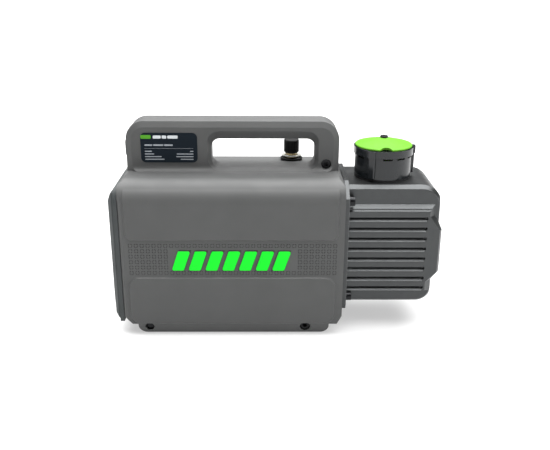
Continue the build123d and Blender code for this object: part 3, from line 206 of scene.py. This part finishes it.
def machined_metal(name, colour, rough=(0.22, 0.4), lines=(1, 1, 1), metallic=1.0, **sockets):
    """Machined metal with fine tool lines, small stains and bright edges."""
    look = Look(name, metallic=metallic, **sockets)
    rounded = look.rounded_edges(0.3 * MM)
    turned = look.noise(0.25 * MM, detail=3, stretch=lines)
    stain = look.noise(5 * MM, detail=5)
    base = look.mix(look.ramp(stain, 0.35, 0.75), shade(colour, 1.05), shade(colour, 0.72))
    bright = look.mix(look.math("MULTIPLY", look.edge_mask(rounded), 0.6), base, shade(colour, 1.3))
    gloss = look.math("ADD", look.ramp(stain, 0.3, 0.7, *rough), look.ramp(turned, 0.3, 0.7, -0.05, 0.05))
    return look.finish(bright, gloss, look.bump(turned, 0.01 * MM, rounded))


def moulded_rubber(name, colour):
    """Matte rubber with a dusty bloom."""
    look = Look(name, IOR=1.45)
    rounded = look.rounded_edges(0.4 * MM)
    bloom = look.noise(3 * MM, detail=5)
    grain = look.noise(0.3 * MM, detail=2)
    base = look.mix(look.ramp(bloom, 0.4, 0.75), colour, shade(colour, 2.0))
    return look.finish(base, look.ramp(bloom, 0.3, 0.7, 0.65, 0.85), look.bump(grain, 0.02 * MM, rounded))


def laminated_steel(name, colour):
    """Edges of thin steel sheets stacked along the shaft."""
    look = Look(name, metallic=0.9)
    sheets = look.node("ShaderNodeTexWave", wave_type="BANDS", bands_direction="X")
    sheets.inputs["Scale"].default_value = 1 / (1.0 * MM) / 20
    sheets.inputs["Distortion"].default_value = 0.4
    look.link(look.coords, sheets.inputs["Vector"])
    rust = look.noise(4 * MM, detail=5)
    base = look.mix(look.ramp(rust, 0.5, 0.8), colour, (0.2, 0.13, 0.09))
    striped = look.mix(look.ramp(sheets.outputs["Fac"], 0.1, 0.9, 0, 0.4), base, shade(colour, 0.5))
    gloss = look.ramp(rust, 0.3, 0.7, 0.35, 0.55)
    return look.finish(striped, gloss, look.bump(sheets.outputs["Fac"], 0.05 * MM))


def wound_copper(name, colour):
    """Enamelled copper wire lying side by side."""
    look = Look(name, metallic=1.0, Coat_Weight=0.6, Coat_Roughness=0.15)
    wires = look.node("ShaderNodeTexWave", wave_type="RINGS", rings_direction="X")
    wires.inputs["Scale"].default_value = 1 / (1.2 * MM) / 6.3
    wires.inputs["Distortion"].default_value = 1.5
    wires.inputs["Detail"].default_value = 1.0
    look.link(look.coords, wires.inputs["Vector"])
    tone = look.noise(6 * MM, detail=3)
    base = look.mix(look.ramp(tone, 0.3, 0.7), colour, shade(colour, 0.6))
    return look.finish(base, look.ramp(tone, 0.3, 0.7, 0.25, 0.4), look.bump(wires.outputs["Fac"], 0.4 * MM))


def felt(name, colour):
    """Filter felt with loose fibres."""
    look = Look(name, roughness=0.95, Sheen_Weight=0.4)
    fibres = look.noise(0.5 * MM, detail=6, stretch=(3, 1, 1))
    clumps = look.noise(4 * MM, detail=4)
    base = look.mix(look.ramp(clumps, 0.3, 0.7), shade(colour, 0.8), colour)
    return look.finish(base, None, look.bump(fibres, 0.3 * MM))


def clear_glass(name):
    """Clear glass with a few smears."""
    look = Look(name, roughness=0.02, IOR=1.5, Transmission_Weight=1.0)
    smear = look.noise(5 * MM, detail=5)
    tint = look.mix(look.ramp(smear, 0.3, 0.7), (0.93, 0.97, 0.94), (0.98, 1.0, 0.98))
    return look.finish(tint, look.ramp(smear, 0.45, 0.8, 0.01, 0.09))


def oil(name):
    """Amber vacuum pump oil seen through the sight glass."""
    look = Look(name, roughness=0.08, IOR=1.47, Coat_Weight=0.5)
    swirl = look.noise(8 * MM, detail=3)
    return look.finish(look.mix(look.ramp(swirl, 0.3, 0.7), (0.55, 0.27, 0.05), (0.75, 0.42, 0.1)))


GREY = (0.0755, 0.077, 0.0765)
LOOKS = {
    "housing": moulded_plastic("housing", GREY),
    "cover": moulded_plastic("cover", (0.043, 0.049, 0.05)),
    "black_screw": machined_metal(
        "black_screw", (0.012, 0.0125, 0.014), rough=(0.12, 0.24), metallic=0.3, Specular_IOR_Level=0.2
    ),
    "rubber": moulded_rubber("rubber", (0.018, 0.018, 0.019)),
    "label": satin_plastic("label", (0.009, 0.014, 0.02), rough=(0.4, 0.5), Specular_IOR_Level=0.05),
    "badge_green": satin_plastic("badge_green", (0.0, 0.84, 0.02), rough=(0.4, 0.5), Specular_IOR_Level=0.2),
    "black_plastic": moulded_plastic(
        "black_plastic", (0.002, 0.002, 0.0022), rough=(0.4, 0.55), edge=3.0, edge_r=0.4 * MM, shine=0.2
    ),
    "rocker": satin_plastic("rocker", (0.02, 0.024, 0.025)),
    "lamination": laminated_steel("lamination", (0.32, 0.32, 0.33)),
    "copper": wound_copper("copper", (0.72, 0.33, 0.16)),
    "cast_aluminium": machined_metal("cast_aluminium", (0.56, 0.57, 0.58), rough=(0.42, 0.6)),
    "steel": machined_metal("steel", (0.56, 0.56, 0.57)),
    "capacitor": satin_plastic("capacitor", (0.55, 0.56, 0.57), rough=(0.3, 0.4)),
    "tank_paint": cast_paint("tank_paint", (0.053, 0.0555, 0.0565)),
    "cast_iron": machined_metal("cast_iron", (0.24, 0.24, 0.25), rough=(0.4, 0.6)),
    "vane": satin_plastic("vane", (0.05, 0.03, 0.015)),
    "glass": clear_glass("glass"),
    "cap_plastic": satin_plastic(
        "cap_plastic", (0.01, 0.012, 0.014), rough=(0.12, 0.2), Specular_IOR_Level=0.4
    ),
    "lid_green": satin_plastic("lid_green", (0.103, 0.32, 0.017), rough=(0.5, 0.6), Specular_IOR_Level=0.12),
    "felt": felt("felt", (0.72, 0.7, 0.62)),
    "brass": machined_metal("brass", (0.95, 0.76, 0.42), lines=(3, 3, 1), metallic=0.2),
    "washer": satin_plastic("washer", (0.75, 0.75, 0.7), Transmission_Weight=0.3),
}
PRINT_WHITE = satin_plastic("label_print", (0.62, 0.66, 0.68), rough=(0.4, 0.5))
PRINT_GREY = satin_plastic("label_small_print", (0.3, 0.33, 0.36), rough=(0.4, 0.5))
PRINT_GREEN = satin_plastic(
    "label_green", (0.085, 0.34, 0.02), rough=(0.4, 0.5), Specular_IOR_Level=0.15
)
# dark ring ribs: painted shade standing in for the shadow in engraved rings
PATTERN_PAINTED_SHADE = moulded_plastic("pattern_painted_shade", shade(GREY, 0.25), edge=1.0)
# dark rims round the badge bars: a painted shadow
BADGE_SHADOW_RIM = satin_plastic("badge_shadow_rim", (0.012, 0.014, 0.014), rough=(0.3, 0.4))
# lighter copy of the tank paint: a painted highlight along the groove lips
GROOVE_LIP_PAINTED_HIGHLIGHT = cast_paint("groove_lip_painted_highlight", (0.125, 0.13, 0.132))
OIL = oil("oil")

for part in frame["record"]["subparts"]:
    mesh = frame["nodes"][part["node"]].data
    if not mesh.materials:
        mesh.materials.append(None)
    for index in range(len(mesh.materials)):
        mesh.materials[index] = LOOKS[part["material_slot"]]


# ------------------------------------------------------------------ mesh helpers
def new_piece(name, vertices, faces, material, body="body"):
    """Makes a mesh piece that rides on a CAD body and takes the material it is given."""
    mesh = bpy.data.meshes.new(name)
    mesh.from_pydata(vertices, [], faces)
    mesh.validate()
    mesh.update()
    mesh.materials.append(material)
    piece = bpy.data.objects.new(name, mesh)
    bpy.context.scene.collection.objects.link(piece)
    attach(piece, body)
    return piece


class Builder:
    """Collects prisms and roof-shaped ribs and joins them into one mesh."""

    def __init__(self):
        self.vertices = []
        self.faces = []

    def prism(self, outline, origin, right, up, out, depth, taper=0.0):
        """A flat outline in (right, up) coordinates, raised along out; taper draws its top inwards."""
        start = len(self.vertices)
        count = len(outline)
        centre_x = sum(p[0] for p in outline) / count
        centre_y = sum(p[1] for p in outline) / count
        for height, draw in ((0.0, 0.0), (depth, taper)):
            for x, y in outline:
                size = max(abs(x - centre_x), abs(y - centre_y)) or 1
                keep = 1 - draw / size
                px = centre_x + (x - centre_x) * keep
                py = centre_y + (y - centre_y) * keep
                self.vertices.append(origin + right * px + up * py + out * height)
        self.faces.append([start + count + i for i in range(count)])
        self.faces.append([start + i for i in reversed(range(count))])
        for i in range(count):
            j = (i + 1) % count
            self.faces.append([start + i, start + j, start + count + j, start + count + i])

    def band(self, points, normals, width, height):
        """A raised rib of roof-shaped section along points on a surface; normals point out of the surface."""
        start = len(self.vertices)
        for index, (point, normal) in enumerate(zip(points, normals)):
            before = points[max(index - 1, 0)]
            after = points[min(index + 1, len(points) - 1)]
            side = (after - before).normalized().cross(normal).normalized()
            self.vertices += [point - side * width / 2, point + normal * height, point + side * width / 2]
        for i in range(len(points) - 1):
            a = start + 3 * i
            for k, m in ((0, 1), (1, 2), (2, 0)):
                self.faces.append([a + k, a + m, a + 3 + m, a + 3 + k])
        last = start + 3 * (len(points) - 1)
        self.faces.append([start, start + 2, start + 1])
        self.faces.append([last, last + 1, last + 2])

    def make(self, name, material, body="body"):
        return new_piece(name, [tuple(v) for v in self.vertices], self.faces, material, body)


def rounded_rectangle(x, y, width, height, radius, steps=4):
    """Outline of a rectangle with its lower left corner at x, y."""
    points = []
    far_x = width - radius
    far_y = height - radius
    corners = ((far_x, far_y, 0), (radius, far_y, 90), (radius, radius, 180), (far_x, radius, 270))
    for cx, cy, start in corners:
        for step in range(steps + 1):
            angle = radians(start + 90 * step / steps)
            points.append((x + cx + radius * cos(angle), y + cy + radius * sin(angle)))
    return points


X, Y, Z = Vector((1, 0, 0)), Vector((0, 1, 0)), Vector((0, 0, 1))


# ------------------------------------------------------------------ moulded ring pattern beside the badge, drawn as dark ribs of painted shade
def ring_pattern():
    """Rows of little rings, each cut into four arcs, moulded into the band on both sides of the housing; they
    are raised ribs painted dark, a painted shade standing in for the shadow inside engraved rings.
    """
    pitch = 5.4 * MM
    radius = 1.75 * MM
    rows = 6
    side_columns = 7
    middle_z = 78.1 * MM
    left = -135.1 * MM
    right = 53.0 * MM
    columns = round((right - left) / pitch) + 1
    step = (right - left) / (columns - 1)
    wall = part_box("badge_bars")[1].y
    half_height = (rows - 1) / 2
    for side, name in ((1, "ring_pattern_front"), (-1, "ring_pattern_rear")):
        rings = Builder()
        for row in range(rows):
            for column in range(columns):
                edge_row = row in (0, rows - 1)
                outer = column < side_columns or column >= columns - side_columns
                if not edge_row and not outer:
                    continue
                from_end = min(column, columns - 1 - column)
                fade_x = min(1.0, 0.45 + 0.2 * from_end)
                fade_z = (0.45, 0.8, 1.0)[min(row, rows - 1 - row)]
                size = 0.16 * MM * fade_x * fade_z + 0.05 * MM
                ring_z = middle_z + (row - half_height) * pitch
                centre = Vector((left + step * column, wall * side, ring_z))
                for quarter in range(4):
                    points = []
                    for k in range(6):
                        angle = radians(90 * quarter + 14 + 62 * k / 5)
                        points.append(centre + X * radius * cos(angle) + Z * radius * sin(angle))
                    rings.band(points, [Y * -side] * 6, 0.62 * MM, size)
        rings.make(name, PATTERN_PAINTED_SHADE)


# ------------------------------------------------------------------ rolled lips under the tank's grooves
def groove_lips():
    """A small roll along the lower edge of each groove, on both sides of the tank, painted lighter than the
    tank as a painted highlight along the lip.
    """
    grooves = 8
    top_lip_z = 110.7 * MM
    pitch = 10 * MM
    left = 66.3 * MM
    right = 138.7 * MM
    wall = 42 * MM
    for side, name in ((-1, "groove_lips_front"), (1, "groove_lips_rear")):
        lips = Builder()
        for index in range(grooves):
            z = top_lip_z - index * pitch
            points = [Vector((left + (right - left) * k / 6, wall * side, z)) for k in range(7)]
            lips.band(points, [Y * side] * 7, 1.2 * MM, 0.7 * MM)
        lips.make(name, GROOVE_LIP_PAINTED_HIGHLIGHT)


# ------------------------------------------------------------------ dark rims of the badge bars, a painted shadow
def badge_shadow_rims():
    """A thin dark rim round the foot of each slanted green bar, a painted shadow round the bars."""
    low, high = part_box("badge_bars")
    bars = 7
    slant = 6.5 * MM
    gap = 4.2 * MM
    grow = 0.55 * MM
    pitch = (high.x - slant - low.x + gap) / bars
    rims = Builder()
    for index in range(bars):
        start = low.x + index * pitch
        end = start + pitch - gap
        outline = [
            (start - grow, low.z - grow), (end + grow * 0.6, low.z - grow),
            (end + slant + grow, high.z + grow), (start + slant - grow * 0.6, high.z + grow),
        ]
        rims.prism(outline, Vector((0, high.y, 0)), X, Z, -Y, 0.75 * MM, 0.1 * MM)
    rims.make("badge_shadow_rims", BADGE_SHADOW_RIM)


# ------------------------------------------------------------------ rating label print
def label_print():
    """A green bar, a divider and rows of plain bars where a rating label has its words."""
    low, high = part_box("rating_label")
    face = Vector((low.x, low.y, low.z))
    width = high.x - low.x
    height = high.z - low.z
    print_t = 0.05 * MM

    def strip(builder, x, z, w, h):
        r = min(w, h) * 0.3
        builder.prism(rounded_rectangle(x, z, w, h, r), face, X, Z, -Y, print_t)

    green = Builder()
    strip(green, 0.2 * MM, height - 5.6 * MM, 9.6 * MM, 3.6 * MM)
    green.make("label_green_bar", PRINT_GREEN)
    white = Builder()
    for x, w in ((11.6, 7.4), (19.8, 4.4), (25.0, 9.6)):
        strip(white, x * MM, height - 5.4 * MM, w * MM, 3.0 * MM)
    grey = Builder()
    for x, w in ((3.6, 7.2), (11.6, 9.4), (21.8, 8.0)):
        strip(grey, x * MM, height - 12.3 * MM, w * MM, 1.5 * MM)
    strip(grey, 3.4 * MM, height - 14.8 * MM, width - 7.2 * MM, 0.22 * MM)
    rows = ((6.5, 3.0), (8.6, 15.5), (15.4, 16.0), (18.0, 12.0))
    for index, (left_w, right_w) in enumerate(rows):
        z = height - (17.9 + 2.55 * index) * MM
        strip(grey, 3.6 * MM, z, left_w * MM, 0.95 * MM)
        strip(grey, width - (3.8 + right_w) * MM, z, right_w * MM, 0.95 * MM)
    white.make("label_bars", PRINT_WHITE)
    grey.make("label_small_bars", PRINT_GREY)


# ------------------------------------------------------------------ oil behind the sight glass
def oil_level():
    """Oil that half fills the sight glass, and a pair of level marks on its ring."""
    low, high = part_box("sight_glass")
    centre = (low + high) / 2
    radius = 9.8 * MM
    surface = 1.5 * MM
    outline = []
    for step in range(33):
        angle = radians(360 * step / 32)
        outline.append((radius * cos(angle), min(radius * sin(angle), surface)))
    pool = Builder()
    pool.prism(outline[:-1], Vector((low.x - 2.4 * MM, centre.y, centre.z)), Y, Z, X, 1.6 * MM)
    pool.make("oil_in_sight_glass", OIL)
    ring_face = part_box("sight_glass_ring")[1].x
    marks = Builder()
    mark_x = 12.6 * MM
    mark_w = 2.6 * MM
    mark_h = 0.6 * MM
    for height in (-4.2, 4.2):
        for side in (-1, 1):
            left = side * mark_x - mark_w / 2
            bar = rounded_rectangle(left, height * MM - mark_h / 2, mark_w, mark_h, 0.25 * MM)
            marks.prism(bar, Vector((ring_face, centre.y, centre.z)), Y, Z, X, 0.04 * MM)
    marks.make("oil_level_marks", PRINT_WHITE)


# ------------------------------------------------------------------ studio
def area_light(name, place, target, size, power):
    light = bpy.data.lights.new(name, "AREA")
    light.shape = "RECTANGLE"
    light.size, light.size_y = size
    light.energy = power
    lamp = bpy.data.objects.new(name, light)
    lamp.location = place
    lamp.rotation_euler = (Vector(target) - Vector(place)).to_track_quat("-Z", "Y").to_euler()
    bpy.context.scene.collection.objects.link(lamp)


def studio():
    """A pale light table under a broad soft overhead light; the surround is dim and pale at the horizon."""
    bpy.ops.mesh.primitive_plane_add(size=30, location=(0, 0, 0))
    floor = bpy.context.object
    floor.name = "floor"
    look = Look("floor", roughness=0.9, Specular_IOR_Level=0.1, Emission_Strength=0.5)
    mottle = look.ramp(look.noise(0.5, detail=2), 0.3, 0.7)
    tone = look.mix(mottle, (0.37, 0.37, 0.37), (0.39, 0.39, 0.39))
    floor.data.materials.append(look.finish(tone))
    world = bpy.data.worlds.new("surround")
    world.use_nodes = True
    nodes = world.node_tree.nodes
    links = world.node_tree.links
    direction = nodes.new("ShaderNodeTexCoord").outputs["Generated"]
    split = nodes.new("ShaderNodeSeparateXYZ")
    links.new(direction, split.inputs["Vector"])
    shades = nodes.new("ShaderNodeValToRGB")
    links.new(split.outputs["Z"], shades.inputs["Fac"])
    shades.color_ramp.elements[0].position = 0.0
    shades.color_ramp.elements[0].color = (0.4, 0.4, 0.4, 1)
    shades.color_ramp.elements[1].position = 1.0
    shades.color_ramp.elements[1].color = (0.8, 0.8, 0.8, 1)
    for position, grey in ((0.1, 0.22), (0.2, 0.05), (0.7, 0.05), (0.88, 0.5)):
        stop = shades.color_ramp.elements.new(position)
        stop.color = (grey, grey, grey, 1)
    background = nodes["Background"]
    links.new(shades.outputs["Color"], background.inputs["Color"])
    background.inputs["Strength"].default_value = 1.0
    bpy.context.scene.world = world
    sun = bpy.data.lights.new("overhead", "SUN")
    sun.energy = 10.4
    sun.angle = radians(84)
    lamp = bpy.data.objects.new("overhead", sun)
    lamp.rotation_euler = (radians(-13), radians(2), 0)
    bpy.context.scene.collection.objects.link(lamp)
    area_light("right_strip", (1.5, -0.5, 0.45), (0.1, 0, 0.14), (0.2, 1.0), 5)


def camera():
    """The photographer's place: in front, a little left of the middle, looking down by 20 degrees."""
    yaw, pitch, roll = 0.013, -0.3499, 0.0058
    forward = Vector((sin(yaw) * cos(pitch), cos(yaw) * cos(pitch), sin(pitch)))
    level_right = Vector((cos(yaw), -sin(yaw), 0))
    level_up = level_right.cross(forward)
    right = level_right * cos(roll) + level_up * sin(roll)
    up = level_up * cos(roll) - level_right * sin(roll)
    data = bpy.data.cameras.new("camera")
    data.sensor_width = 36
    data.lens = 48.19
    eye = bpy.data.objects.new("camera", data)
    turn = Matrix((right, up, -forward)).transposed().to_4x4()
    eye.matrix_world = Matrix.Translation((-0.01056, -0.6842, 0.34118)) @ turn
    bpy.context.scene.collection.objects.link(eye)
    bpy.context.scene.camera = eye


ring_pattern()
groove_lips()
badge_shadow_rims()
label_print()
oil_level()
studio()
camera()
bpy.context.scene.view_settings.view_transform = "Standard"
